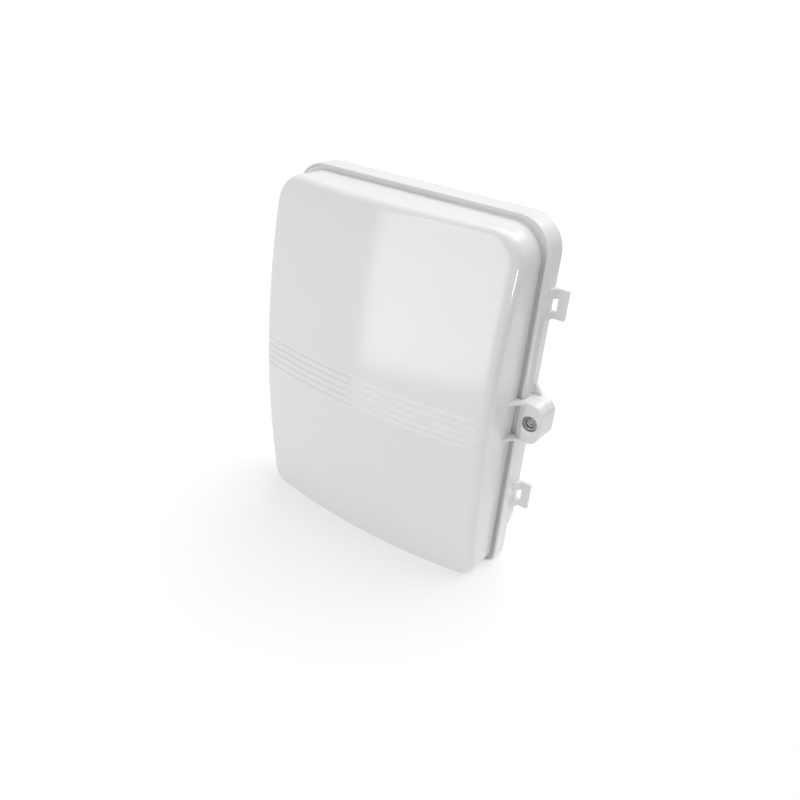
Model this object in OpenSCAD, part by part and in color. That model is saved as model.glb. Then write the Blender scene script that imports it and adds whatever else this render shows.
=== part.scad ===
// Wall box for fibre joints and patching: shallow rear housing, deep crowned cover on a
// left-hand hinge, quarter-turn lock, swing-out patch panel and a splice cassette behind it.
// X runs to the right, the front looks along -Y, Z is up. The origin is the centre of the
// four wall-fixing holes, on the wall plane.

/* [Housing] */
// Width of the rear housing
box_w = 250; // [236:1:300]
// Height of the box
box_h = 320; // [300:1:384]
// Depth of the rear housing, wall plane to rim
base_d = 23; // [22:0.5:28]
// Wall thickness of the mouldings
wall = 2.5; // [2:0.1:3]
// Corner radius of the housing at the top
top_r = 29; // [24:1:36]
// Corner radius of the housing at the bottom
bottom_r = 11; // [9:1:16]
// Height of the stepped-in part of the back, over the cable entries
step_h = 46; // [30:1:55]
// How far that part stands off the wall plane
step_d = 2.3; // [1:0.1:2.6]
// Width of the bevel on the rear side edges next to the foot
foot_bevel_w = 2.4; // [1:0.1:2.6]
// Depth of that bevel
foot_bevel_d = 6; // [3:0.1:6.5]
// Height of that bevel above the foot
foot_bevel_h = 40; // [20:1:44]

/* [Cover] */
// Depth of the cover's edge, from the wall plane
cover_d = 53; // [50:1:64]
// Extra depth of the front at mid-height
crown_v = 16; // [10:1:20]
// Extra depth of the front at mid-width
crown_h = 13; // [8:1:16]
// Width of the ledge round the dome
ledge_w = 5.5; // [5:0.1:8]
// Corner radius of the dome at the top
dome_top_r = 27; // [22:1:34]
// Corner radius of the dome at the bottom
dome_bottom_r = 14; // [10:1:18]
// Rounding between the dome's front and its sides
dome_round = 7; // [5:0.5:10]
// Rounding along the dome's bottom edge
dome_foot_round = 3; // [2.6:0.1:5]
// Width of the housing rim outside the cover flange
rim_w = 1.8; // [1.4:0.1:2.2]
// Gap between that rim and the cover flange
rim_gap = 0.8; // [0.8:0.1:1.2]
// Gap between the closed cover and the housing
shut_gap = 0.3; // [0.3:0.1:0.6]
// Number of shallow grooves across the front
groove_n = 5; // [3:1:7]
// Spacing of the grooves
groove_pitch = 6.4; // [5:0.1:8]
// Depth of a groove
groove_depth = 0.5; // [0.3:0.05:0.8]

/* [Cover hinge] */
// Height of each hinge above and below the middle
hinge_z = 118; // [116:1:122]
// Radius of the hinge knuckles
knuckle_r = 4; // [3.6:0.1:4.5]
// Length of a whole hinge, along the pin
hinge_len = 23; // [20:1:26]
// Radius of the hinge pins
hinge_pin_r = 1.5; // [1.2:0.1:2]
// Radial clearance of a pin that turns
run_clear = 0.06; // [0.04:0.01:0.08]

/* [Lock] */
// Lock axis, out from the housing side
lock_out = 10.3; // [10:0.1:12]
// Height of the lock axis above the middle
lock_z = -4.5; // [-10:0.5:10]
// Half height of the lock boss
boss_half = 17.8; // [16:0.1:20]
// Boss wall outside the lock head
boss_edge = 4.2; // [3.4:0.1:5]
// Depth of the lug front, from the wall plane
lug_d = 26.7; // [26.2:0.1:30]
// Depth of the two ribs that tie the lug to the dome
rib_d = 38.5; // [32:0.5:42]
// Radius of the lock head
lock_head_r = 6.6; // [6.2:0.1:7.4]
// Radius of the lock body
lock_body_r = 5; // [4.5:0.1:5.3]
// Reach of the cam from the lock axis
cam_len = 8.2; // [7.2:0.1:8.3]

/* [Side ears] */
// Height of each ear above and below their middle
ear_z = 90.5; // [88:0.5:92]
// Height of the ears' middle above the middle of the box
ear_mid = 2; // [-2:0.5:4]
// How far an ear stands out from the side
ear_out = 13; // [11:0.5:16]
// Height of an ear
ear_h = 25; // [22:1:28]
// Width of the strap slot in an ear
ear_slot_w = 5.4; // [5:0.1:7]
// Height of the strap slot in an ear
ear_slot_h = 11; // [9:0.5:14]
// Thickness of the ears' outer plates
ear_t = 3; // [2.4:0.1:4]
// How far forward of the wall the ears' webs start on the housing's side
ear_web_d = 10; // [8:0.5:14]

/* [Wall fixing] */
// Distance between the wall screws across
fix_x = 200; // [194:1:204]
// Distance between the wall screws up the wall
fix_z = 216; // [200:1:224]
// Radius of the wall screw holes
fix_r = 3; // [2:0.1:3.6]

/* [Cable entries] */
// Distance of each feeder entry from the middle
feeder_x = 86; // [80:1:92]
// Radius of a feeder entry hole
feeder_r = 5.6; // [4.5:0.1:5.8]
// Number of drop cable entries
drop_n = 12; // [6:1:14]
// Spacing of the drop cable entries
drop_pitch = 9.5; // [8:0.1:10]
// Radius of a drop cable entry
drop_r = 1.6; // [1.2:0.1:2]

/* [Swing panel] */
// Space between the panel's edges and the housing sides
panel_margin = 21; // [20:1:24]
// Top of the panel, below the top of the box
panel_top = 32; // [30:1:40]
// Bottom of the panel, above the bottom of the box
panel_foot = 62; // [60:1:70]
// Depth of the panel's back, from the wall plane
panel_y = 26; // [25.5:0.1:27]
// Radius of the panel's hinge pins
panel_pin_r = 2; // [1.6:0.1:2.4]
// Number of patch adapters
adapter_n = 12; // [8:1:12]
// Spacing of the patch adapters
adapter_pitch = 14.5; // [13.6:0.1:15.5]

/* [Splice cassette] */
// Width of the cassette
cassette_w = 172; // [150:1:174]
// Height of the cassette
cassette_h = 112; // [100:1:120]
// Depth of the cassette
cassette_d = 11; // [9:0.5:11.5]
// Number of splice slots
splice_n = 12; // [6:1:12]

/* [Hidden] */
$fn = 48;

half_w = box_w / 2;
half_h = box_h / 2;
corner_steps = 14;
fit_gap = 0.1;          // between pieces that are fixed to each other
join = 0.5;             // how deep mouldings that are one piece run into each other
dome_half_w = half_w - ledge_w;
dome_top = half_h - ledge_w;
dome_mid_z = (dome_top - half_h) / 2;
dome_half_h = (dome_top + half_h) / 2;
groove_z = -6.5;
groove_r = 0.9;
groove_half_turn = 14;
shelf_front = base_d - 2;
shelf_t = 2.5;
shelf_inset = 9;
flange_back = shelf_front + shut_gap;
flange_front = base_d + 0.5;
flange_inset = rim_w + rim_gap;
gasket_inset = 4.2;
gasket_w = 2.6;
gasket_d = 1.5;
hinge_x = -half_w - knuckle_r - 0.4;
hinge_y = -(base_d - 2.5);
hinge_gap = 0.3;
leaf_len = 8;
lock_x = half_w + lock_out;
boss_x = lock_x + lock_head_r + boss_edge;
boss_r = 11;
boss_back = 3;
boss_front = 13;
lug_back = boss_front + shut_gap;
lug_inner = half_w + 0.4;
rib_t = 2;
keeper_back = boss_front - 3;
lock_seat = lug_d - 7;
nut_seat = lock_seat - 3.5;
nut_room = 8.2;
lock_end = keeper_back - 0.5;
cam_t = 2;
cam_w = 8;
panel_w = box_w - 2 * panel_margin;
panel_hi = half_h - panel_top;
panel_lo = -half_h + panel_foot;
panel_t = 2.5;
panel_front = panel_y + panel_t;
panel_x = -half_w + panel_margin - 2;
panel_pin_y = -(panel_y + 1);
bracket_t = 6;
bracket_r = 5;
latch_x = panel_w / 2 - 12;
latch_z = 20;
adapter_w = 9.2;
adapter_d = 12.8;
adapter_l = 27;
plate_z = panel_lo + 24;
plate_t = 1.5;
plate_d = 17;
cap_len = 8;
cassette_back = 6;
cassette_x = -4;
cassette_z = panel_hi - 2 - cassette_h / 2;
cassette_front = cassette_back + cassette_d;
lid_t = 1.6;
lid_pin_r = 1.5;
lid_pin_x = cassette_x - cassette_w / 2 + 4;
lid_pin_y = -(cassette_front + 2);
entry_y = -(step_d + wall + shelf_front - shelf_t) / 2;
screw_r = 1.5;
floor_y = -wall;
foot_floor_y = -wall - step_d;
post_floor_t = 0.5;
tip_gap = 0.2;

plastic = [0.93, 0.94, 0.95];
tray_grey = [0.80, 0.82, 0.84];
steel = [0.62, 0.63, 0.65];
dark_steel = [0.25, 0.25, 0.26];
rubber = [0.12, 0.12, 0.13];
green = [0.10, 0.52, 0.30];
clear = [0.80, 0.86, 0.90, 0.45];

function mix(a, b, t) = a + (b - a) * t;
function clamp01(t) = min(max(t, 0), 1);

// Corner arc of an outline: points with their outward direction
function arc(cx, cz, r, from, steps) =
    [for (i = [0:steps]) let (a = from + 90 * i / steps)
        [cx + r * cos(a), cz + r * sin(a), cos(a), sin(a)]];

// Points along a straight run, between its two ends
function run(p, q, n) =
    [for (i = [1:n - 1]) [mix(p[0], q[0], i / n), mix(p[1], q[1], i / n), p[2], p[3]]];

// Round-cornered outline with its own radius at the top and at the bottom
function box_outline(hw, lo, hi, rt, rb, steps, cuts) = let (
    a = arc(hw - rb, lo + rb, rb, -90, steps),
    b = arc(hw - rt, hi - rt, rt, 0, steps),
    c = arc(-hw + rt, hi - rt, rt, 90, steps),
    d = arc(-hw + rb, lo + rb, rb, 180, steps))
    concat(a, run(a[steps], b[0], cuts), b, run(b[steps], c[0], cuts),
           c, run(c[steps], d[0], cuts), d, run(d[steps], a[0], cuts));

function flat(points) = [for (p = points) [p[0], p[1]]];

module housing_outline(inset = 0)
    polygon(flat(box_outline(half_w - inset, -half_h + inset, half_h - inset,
        max(top_r - inset, 1), max(bottom_r - inset, 1), corner_steps, 1)));

// The dome is as low as the housing, and a ledge narrower at the sides and the top
module dome_outline(inset)
    polygon(flat(box_outline(dome_half_w - inset, -half_h + inset, dome_top - inset,
        dome_top_r - inset, dome_bottom_r - inset, corner_steps, 1)));

// Extrudes an X-Z outline between two depths, measured forward from the wall plane
module slab(back, front)
    translate([0, -back, 0]) rotate([90, 0, 0]) linear_extrude(front - back) children();

module block(x0, x1, back, front, z0, z1)
    translate([x0, -front, z0]) cube([x1 - x0, front - back, z1 - z0]);

// A round bar along Y between two depths
module stud(x, z, r, back, front)
    translate([x, -back, z]) rotate([90, 0, 0]) cylinder(r = r, h = front - back);

module pan_head(r, t) cylinder(r1 = r, r2 = r * 0.82, h = t);

// Pan head screw along -Y, its head's underside at the depth seat
module panel_screw(x, z, seat, length, r = screw_r) {
    stud(x, z, r, seat - length, seat + join);
    translate([x, -seat, z]) rotate([90, 0, 0]) difference() {
        pan_head(r * 1.9, r * 1.3);
        for (turn = [0, 90]) rotate([0, 0, turn])
            translate([-r, -r * 0.2, r * 0.7]) cube([r * 2, r * 0.4, r]);
    }
}

// ---------------------------------------------------------------- rear housing

function front_depth(x, z) = cover_d + crown_v * (1 - pow((z - dome_mid_z) / dome_half_h, 2))
    + crown_h * (1 - pow(x / dome_half_w, 2));

module boss_outline(inset = 0, from_x = 0)
    intersection() {
        translate([lock_x, lock_z]) union() {
            translate([-60, -boss_half + inset])
                square([60 + boss_x - lock_x - boss_r, 2 * (boss_half - inset)]);
            translate([-60, -boss_half + boss_r])
                square([60 + boss_x - lock_x - inset, 2 * (boss_half - boss_r)]);
            for (s = [-1, 1]) translate([boss_x - lock_x - boss_r, s * (boss_half - boss_r)])
                circle(r = boss_r - inset);
        }
        translate([from_x, lock_z - 40]) square([80, 80]);
    }

module side_ear() {
    slot_lo = -ear_slot_h / 2 - 1;
    difference() {
        translate([0, 0, -ear_h / 2]) linear_extrude(ear_h)
            polygon([[half_w - join, -ear_web_d], [half_w + 0.6, -ear_web_d],
                     [half_w + ear_slot_w - 1, -ear_t], [half_w + ear_out, -ear_t],
                     [half_w + ear_out, 0], [half_w - join, 0]]);
        block(half_w, half_w + ear_slot_w, -1, ear_web_d + 1, slot_lo, slot_lo + ear_slot_h);
    }
}

module hinge_ends(z) {
    end_len = (hinge_len - leaf_len) / 2 - hinge_gap;
    for (s = [-1, 1]) translate([0, 0, z + s * (leaf_len / 2 + hinge_gap + end_len / 2)]) {
        translate([hinge_x, hinge_y, -end_len / 2]) cylinder(r = knuckle_r, h = end_len);
        translate([hinge_x, hinge_y, -end_len / 2])
            cube([-half_w + join - hinge_x, knuckle_r, end_len]);
    }
}

module panel_bracket(z)
    translate([0, 0, z - bracket_t / 2]) linear_extrude(bracket_t) union() {
        translate([panel_x - bracket_r, panel_pin_y])
            square([2 * bracket_r, -panel_pin_y + floor_y + join]);
        translate([panel_x, panel_pin_y]) circle(r = bracket_r);
    }

// Depth of the housing's floor under a point, and of the end of a screw in a post there
function floor_depth(z) = z < -half_h + step_h ? -foot_floor_y : wall;
function tip_depth(z) = floor_depth(z) + post_floor_t + tip_gap;

module housing_post(x, z, r, front, hole)
    difference() {
        stud(x, z, r, floor_depth(z) - join, front);
        stud(x, z, hole, floor_depth(z) + post_floor_t, front + 1);
    }

function fix_points() = [for (sx = [-1, 1], sz = [-1, 1]) [sx * fix_x / 2, sz * fix_z / 2]];
function cassette_points() = [for (sx = [-1, 1], sz = [-1, 1])
    [cassette_x + sx * (cassette_w / 2 - 12), cassette_z + sz * (cassette_h / 2 - 8)]];
function clamp_points() = [for (sx = [-1, 1], k = [-1, 1])
    [sx * feeder_x + k * (feeder_r + 6), clamp_z]];
function strength_points() = [for (sx = [-1, 1]) [sx * feeder_x, strength_z]];
function tie_points() = [for (sx = [-1, 1]) [sx * tie_half, tie_z]];

clamp_z = -half_h + 22;
strength_z = -half_h + 40;
tie_half = 56;
tie_z = -half_h + 30;
tie_back = 10;
clamp_seat = -entry_y;

module latch_table() {
    plate = panel_y - 3;
    difference() {
        union() {
            block(latch_x - 9, latch_x + 9, plate - 2.5, plate, latch_z - 13, latch_z + 13);
            for (s = [-1, 1]) translate([0, 0, latch_z + s * 12])
                block(latch_x - 9, latch_x + 9, wall - join, plate, -1.2, 1.2);
        }
        block(latch_x - 4.2, latch_x + 4.2, plate - 4, plate + 1, latch_z - 8, latch_z + 8);
    }
}

// What the bevel on a rear side edge takes off, next to the foot
module foot_bevel()
    translate([0, 0, -half_h - 1]) linear_extrude(foot_bevel_h + 1)
        polygon([[half_w - foot_bevel_w, -step_d], [half_w, -step_d - foot_bevel_d],
                 [half_w + 1, -step_d - foot_bevel_d], [half_w + 1, -step_d + 1],
                 [half_w - foot_bevel_w, -step_d + 1]]);

module base_shell() color(plastic) {
    difference() {
        union() {
            difference() {
                slab(0, base_d) housing_outline();
                difference() {
                    slab(wall, base_d + 1) housing_outline(wall);
                    block(-half_w, half_w, 0, wall + step_d,
                          -half_h, -half_h + step_h + wall);
                }
                block(-half_w - 1, half_w + 1, -1, step_d, -half_h - 1, -half_h + step_h);
                for (s = [-1, 1]) scale([s, 1, 1]) foot_bevel();
            }
            slab(shelf_front - shelf_t, shelf_front) difference() {
                housing_outline(wall - join);
                housing_outline(shelf_inset);
            }
            slab(boss_back, boss_front) boss_outline(0, half_w - join);
            // Gusset over the lock boss
            slab(boss_back, boss_back + 4)
                polygon([[half_w - join, lock_z + boss_half - 1],
                         [half_w + 9, lock_z + boss_half - 1],
                         [half_w + 6, lock_z + boss_half + 3],
                         [half_w - join, lock_z + boss_half + 11]]);
            for (s = [-1, 1]) translate([0, 0, ear_mid + s * ear_z]) {
                side_ear();
                mirror([1, 0, 0]) side_ear();
            }
            for (s = [-1, 1]) hinge_ends(s * hinge_z);
            panel_bracket(panel_hi + 0.4 + bracket_t / 2);
            panel_bracket(panel_lo - 0.4 - bracket_t / 2);
            for (p = fix_points()) stud(p[0], p[1], 8, wall - join, wall + 2);
            latch_table();
            for (p = cassette_points()) housing_post(p[0], p[1], 4, cassette_back, screw_r);
            for (p = clamp_points()) housing_post(p[0], p[1], 4, clamp_seat, screw_r);
            for (p = strength_points()) housing_post(p[0], p[1], 5, 8, screw_r);
            for (p = tie_points()) housing_post(p[0], p[1], 4, tie_back, screw_r);
        }
        // The cover flange's seat inside the rim, which is open towards the lock boss
        slab(shelf_front, base_d + 1) {
            difference() {
                housing_outline(rim_w);
                housing_outline(wall + join);
            }
            boss_outline(-1, half_w - flange_inset - 2);
        }
        // The cam chamber and its keyway
        slab(boss_back + 2, keeper_back) boss_outline(wall, half_w + 1.5);
        slab(keeper_back - 1, boss_front + 1) {
            translate([lock_x, lock_z]) circle(r = lock_body_r + 0.8);
            translate([lock_x - cam_w / 2 - 0.8, lock_z]) square([cam_w + 1.6, cam_len + 1]);
        }
        // Gasket groove
        slab(shelf_front - gasket_d, shelf_front + 1) difference() {
            housing_outline(gasket_inset);
            housing_outline(gasket_inset + gasket_w);
        }
        for (p = fix_points()) stud(p[0], p[1], fix_r, -1, wall + 5);
        for (s = [-1, 1]) {
            // Rim notches for the cover's hinge leaves, and the pin bores
            block(-half_w - 1, -half_w + rim_w + 0.2, shelf_front, base_d + 1,
                  s * hinge_z - leaf_len / 2 - 0.6, s * hinge_z + leaf_len / 2 + 0.6);
            translate([hinge_x, hinge_y, s * hinge_z - hinge_len])
                cylinder(r = hinge_pin_r + fit_gap / 2, h = 2 * hinge_len);
            // Feeder entries
            translate([s * feeder_x, entry_y, -half_h - 1]) cylinder(r = feeder_r, h = wall + 2);
        }
        for (z = [panel_hi - 1, panel_lo - bracket_t - 1])
            translate([panel_x, panel_pin_y, z])
                cylinder(r = panel_pin_r + fit_gap / 2, h = bracket_t + 2);
        drop_slot(0, -half_h - 1, -half_h + wall + 1);
    }
}

// Plan of the drop cable opening, between two heights
module drop_slot(inset, z0, z1) {
    half = drop_n * drop_pitch / 2 + 3 - inset;
    deep = 4.4 - inset;
    translate([-half, entry_y - deep, z0]) cube([2 * half, 2 * deep, z1 - z0]);
}

// ---------------------------------------------------------------- cover

// Rings of the dome's skin from its back edge to the middle of its front. The skin of
// the inside is the same shape, moved in by the wall.
function dome_rings(inset) = let (
    edge = box_outline(dome_half_w - inset, -half_h + inset, dome_top - inset,
        dome_top_r - inset, dome_bottom_r - inset, 6, 6),
    rounding = [for (p = edge) max(mix(dome_foot_round, dome_round,
        clamp01((p[1] + half_h - inset) / 25)) - inset, 0.4)],
    turn_steps = 4,
    sides = [[for (p = edge) [p[0], -(flange_front - 0.2), p[1]]]],
    turn = [for (k = [0:turn_steps]) let (a = 90 * k / turn_steps)
        [for (i = [0:len(edge) - 1]) let (p = edge[i], r = rounding[i],
            x = p[0] - p[2] * r * (1 - cos(a)), z = p[1] - p[3] * r * (1 - cos(a)))
            [x, -(front_depth(x, z) - inset - r * (1 - sin(a))), z]]],
    rim = turn[turn_steps],
    face = [for (s = [0.8, 0.6, 0.4, 0.2]) [for (p = rim) let (
        x = p[0] * s, z = dome_mid_z + (p[2] - dome_mid_z) * s)
        [x, -(front_depth(x, z) - inset), z]]])
    concat(sides, turn, face);

function ring_faces(start, n, rings, flip) =
    [for (k = [0:rings - 2], i = [0:n - 1]) let (
        a = start + k * n + i, b = start + k * n + (i + 1) % n,
        quads = [[a, b, b + n], [a, b + n, a + n]])
        for (f = quads) flip ? [f[2], f[1], f[0]] : f];

module dome() {
    outer = dome_rings(0);
    inner = dome_rings(wall);
    n = len(outer[0]);
    m = len(outer);
    skin = concat([for (ring = outer) each ring], [[0, -front_depth(0, dome_mid_z), dome_mid_z]]);
    lining = concat([for (ring = inner) each ring],
        [[0, -(front_depth(0, dome_mid_z) - wall), dome_mid_z]]);
    second = len(skin);
    last = (m - 1) * n;
    polyhedron(points = concat(skin, lining), convexity = 4, faces = concat(
        ring_faces(0, n, m, true),
        [for (i = [0:n - 1]) [m * n, last + (i + 1) % n, last + i]],
        ring_faces(second, n, m, false),
        [for (i = [0:n - 1]) [second + last + i, second + last + (i + 1) % n, second + m * n]],
        [for (i = [0:n - 1]) let (j = (i + 1) % n) each
            [[i, j, second + j], [i, second + j, second + i]]]));
}

// Shallow grooves across the front, each an arc that follows the crown
module grooves() {
    crown_r = (dome_half_w * dome_half_w + crown_h * crown_h) / (2 * crown_h);
    for (i = [0:groove_n - 1]) {
        z = groove_z + (i - (groove_n - 1) / 2) * groove_pitch;
        translate([0, crown_r - front_depth(0, z), z]) rotate([0, 0, -90 - groove_half_turn])
            rotate_extrude(angle = 2 * groove_half_turn, $fn = 96)
                translate([crown_r + groove_r - groove_depth, 0]) circle(r = groove_r, $fn = 16);
    }
}

module hinge_leaf(z)
    translate([0, 0, z - leaf_len / 2]) difference() {
        union() {
            translate([hinge_x, hinge_y, 0]) cylinder(r = knuckle_r, h = leaf_len);
            block(hinge_x, -half_w + flange_inset + 1, flange_back, flange_front, 0, leaf_len);
        }
        translate([hinge_x, hinge_y, -1])
            cylinder(r = hinge_pin_r + run_clear, h = leaf_len + 2);
    }

module lock_lug() {
    dish_r = 46;
    dish = 1.2;
    difference() {
        union() {
            slab(lug_back, lug_d) boss_outline(0, lug_inner);
            slab(flange_back, lug_d) boss_outline(0, dome_half_w - 1.5);
        }
        translate([lock_x, -lug_d - dish_r + dish, lock_z]) sphere(r = dish_r, $fn = 96);
        stud(lock_x, lock_z, lock_head_r + 0.4, lock_seat, lug_d + 1);
        stud(lock_x, lock_z, lock_body_r + run_clear, 0, lug_d);
        stud(lock_x, lock_z, nut_room, 0, nut_seat);
    }
    // Ribs from the lug's edges to the dome's side
    for (z = [lock_z + boss_half - rib_t, lock_z - boss_half])
        translate([0, 0, z]) linear_extrude(rib_t)
            polygon([[dome_half_w - 1.5, -flange_front + join], [dome_half_w - 1.5, -rib_d],
                     [dome_half_w + 0.8, -rib_d], [dome_half_w + 6, -lug_d - 4.2],
                     [lug_inner + 4.5, -lug_d], [lug_inner + 4.5, -flange_front + join]]);
}

module cover() color(plastic) {
    difference() {
        dome();
        grooves();
    }
    slab(flange_back, flange_front) difference() {
        union() {
            housing_outline(flange_inset);
            boss_outline(0, half_w - 8);
        }
        dome_outline(wall);
        translate([lock_x, lock_z]) circle(r = nut_room + 0.4);
    }
    lock_lug();
    for (s = [-1, 1]) hinge_leaf(s * hinge_z);
}

module cover_gasket() color(rubber)
    slab(shelf_front - gasket_d, shelf_front) difference() {
        housing_outline(gasket_inset + fit_gap);
        housing_outline(gasket_inset + gasket_w - fit_gap);
    }

module cover_hinge_pins() color(steel)
    for (s = [-1, 1]) translate([hinge_x, hinge_y, s * hinge_z - hinge_len / 2])
        cylinder(r = hinge_pin_r, h = hinge_len);

// ---------------------------------------------------------------- lock

module lock_barrel() color(dark_steel) {
    head_front = lock_seat + 4;
    difference() {
        union() {
            stud(lock_x, lock_z, lock_body_r, lock_end, lock_seat + join);
            stud(lock_x, lock_z, lock_head_r, lock_seat, head_front);
        }
        translate([lock_x, -head_front + 3, lock_z]) rotate([90, 0, 0])
            cylinder(r = 4.6, h = 4, $fn = 6);
        stud(lock_x, lock_z, screw_r, lock_end - 1, lock_end + 6);
    }
    stud(lock_x, lock_z, 1.5, head_front - 3 - join, head_front - 0.4);
}

module lock_nut() color(steel)
    slab(lug_back + 0.2, nut_seat - fit_gap) translate([lock_x, lock_z]) difference() {
        circle(r = nut_room - 0.6, $fn = 6);
        circle(r = lock_body_r + 0.08);
    }

module lock_cam() color(steel)
    slab(lock_end - fit_gap - cam_t, lock_end - fit_gap) translate([lock_x, lock_z]) difference() {
        union() {
            circle(r = cam_w / 2);
            intersection() {
                translate([-cam_w / 2, 0]) square([cam_w, cam_len]);
                circle(r = cam_len);
            }
        }
        circle(r = screw_r + 0.1);
    }

module cam_screw() color(steel)
    mirror([0, 1, 0]) translate([0, 2 * (lock_end - 2 * fit_gap - cam_t), 0])
        panel_screw(lock_x, lock_z, lock_end - 2 * fit_gap - cam_t, 7, screw_r - 0.05);

// ---------------------------------------------------------------- swing panel

function plate_screw_points() = [for (s = [-1, 1]) [s * (adapter_row / 2 + 6), plate_z - 6]];
adapter_row = (adapter_n - 1) * adapter_pitch + adapter_w;
function adapter_x(i) = (i - (adapter_n - 1) / 2) * adapter_pitch;
splitter_w = 100;
splitter_h = 70;
splitter_d = 9;
splitter_z = panel_hi - 18 - splitter_h / 2;

module swing_panel() color(tray_grey)
    difference() {
        union() {
            block(panel_x + 2, panel_w / 2, panel_y, panel_front, panel_lo, panel_hi);
            // Stiffening lips along the top and the free side
            block(panel_x + 8, panel_w / 2, panel_front - join, panel_front + 6,
                  panel_hi - 2, panel_hi);
            block(panel_w / 2 - 2, panel_w / 2, panel_front - join, panel_front + 6,
                  panel_lo, panel_hi);
            for (z = [panel_lo, panel_hi - 14])
                translate([panel_x, panel_pin_y, z]) cylinder(r = bracket_r - 0.6, h = 14);
        }
        for (z = [panel_lo - 1, panel_hi - 12])
            translate([panel_x, panel_pin_y, z])
                cylinder(r = panel_pin_r + run_clear, h = 13);
        stud(latch_x, latch_z, 3.9, panel_y - 1, panel_front + 1);
        for (p = plate_screw_points()) stud(p[0], p[1], screw_r, panel_y - 1, panel_front + 1);
        for (s = [-1, 1]) block(s * 60 - 8, s * 60 + 8, panel_y - 1, panel_front + 1,
                                plate_z + 24, plate_z + 32);
    }

module panel_hinge_pins() color(steel)
    for (z = [panel_hi - 11.5, panel_lo - bracket_t + 0.5])
        translate([panel_x, panel_pin_y, z]) cylinder(r = panel_pin_r, h = bracket_t + 11);

module adapter_plate() color(tray_grey) {
    half = adapter_row / 2 + 12;
    back = panel_front + fit_gap;
    difference() {
        union() {
            block(-half, half, back, back + plate_d, plate_z, plate_z + plate_t);
            block(-half, half, back, back + plate_t, plate_z - 12, plate_z + plate_t);
        }
        for (i = [0:adapter_n - 1]) translate([adapter_x(i), 0, 0])
            block(-adapter_w / 2 - fit_gap, adapter_w / 2 + fit_gap,
                  back + 2.4 - fit_gap, back + 2.4 + adapter_d + fit_gap,
                  plate_z - 1, plate_z + plate_t + 1);
        for (p = plate_screw_points())
            stud(p[0], p[1], screw_r + 0.2, back - 1, back + plate_t + 1);
    }
}

module plate_screws() color(steel)
    for (p = plate_screw_points())
        panel_screw(p[0], p[1], panel_front + 2 * fit_gap + plate_t, 4.5, screw_r - 0.05);

adapter_back = panel_front + 2.5;
adapter_mid = adapter_back + adapter_d / 2;

module patch_adapters() color(green)
    for (i = [0:adapter_n - 1]) translate([adapter_x(i), 0, plate_z + plate_t / 2])
        difference() {
            block(-adapter_w / 2, adapter_w / 2, adapter_back, adapter_back + adapter_d,
                  -adapter_l / 2, adapter_l / 2);
            for (s = [-1, 1]) block(-3.7, 3.7, adapter_back + 1.6,
                adapter_back + adapter_d - 1.6, s > 0 ? 1 : -adapter_l / 2 - 1,
                s > 0 ? adapter_l / 2 + 1 : -1);
            translate([0, -adapter_mid, -2]) cylinder(r = 1.7, h = 4);
        }

module alignment_sleeves() color([0.92, 0.92, 0.9])
    for (i = [0:adapter_n - 1])
        translate([adapter_x(i), -adapter_mid, plate_z + plate_t / 2 - 5.5]) difference() {
            cylinder(r = 1.62, h = 11);
            translate([0, 0, -1]) cylinder(r = 1.26, h = 13);
        }

module dust_caps(side)
    for (i = [0:adapter_n - 1])
        translate([adapter_x(i), -adapter_mid, plate_z + plate_t / 2]) {
            plug_lo = side > 0 ? adapter_l / 2 - 5 : -adapter_l / 2 - 1;
            translate([-3.55, -adapter_d / 2 + 1.8, plug_lo])
                cube([7.1, adapter_d - 3.6, 6]);
            translate([-4.2, -adapter_d / 2 + 0.6, side > 0 ? adapter_l / 2 + fit_gap
                       : -adapter_l / 2 - cap_len])
                cube([8.4, adapter_d - 1.2, cap_len - fit_gap]);
        }

module outer_dust_caps() color([0.85, 0.2, 0.18]) dust_caps(-1);
module inner_dust_caps() color([0.95, 0.95, 0.95]) dust_caps(1);

module splitter_module() color([0.2, 0.22, 0.25]) {
    back = panel_front + fit_gap;
    difference() {
        block(-splitter_w / 2, splitter_w / 2, back, back + splitter_d,
              splitter_z - splitter_h / 2, splitter_z + splitter_h / 2);
        block(-splitter_w / 2 + 4, splitter_w / 2 - 4, back + splitter_d - 0.5,
              back + splitter_d + 1, splitter_z - splitter_h / 2 + 4,
              splitter_z + splitter_h / 2 - 14);
    }
    // Boots where the fibres leave
    for (i = [-1, 0, 1]) translate([i * 30, -(back + splitter_d / 2),
                                    splitter_z - splitter_h / 2 - 6])
        cylinder(r1 = 1.6, r2 = 2.6, h = 6 + join);
}

module splitter_clips() color(tray_grey) {
    back = panel_front + fit_gap;
    for (s = [-1, 1]) scale([s, 1, 1]) {
        x = splitter_w / 2 + fit_gap;
        block(x, x + 6, back, back + 1.6, splitter_z - 12, splitter_z + 12);
        block(x, x + 1.8, back, back + splitter_d + 2, splitter_z - 12, splitter_z + 12);
        block(x - 2, x + 1.8, back + splitter_d + fit_gap, back + splitter_d + 2,
              splitter_z - 12, splitter_z + 12);
    }
}

// Bend guides: half drums with a lip, which keep the fibres above their least radius
module fibre_guides() color(tray_grey) {
    back = panel_front + fit_gap;
    for (s = [-1, 1]) translate([s * (panel_w / 2 - 34), 0, plate_z + 58])
        difference() {
            union() {
                stud(0, 0, 18, back, back + 11);
                stud(0, 0, 22, back + 9.5, back + 11);
            }
            stud(0, 0, 16, back - 1, back + 12);
            block(-30, 30, back - 1, back + 12, -30, -2);
        }
}

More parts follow.
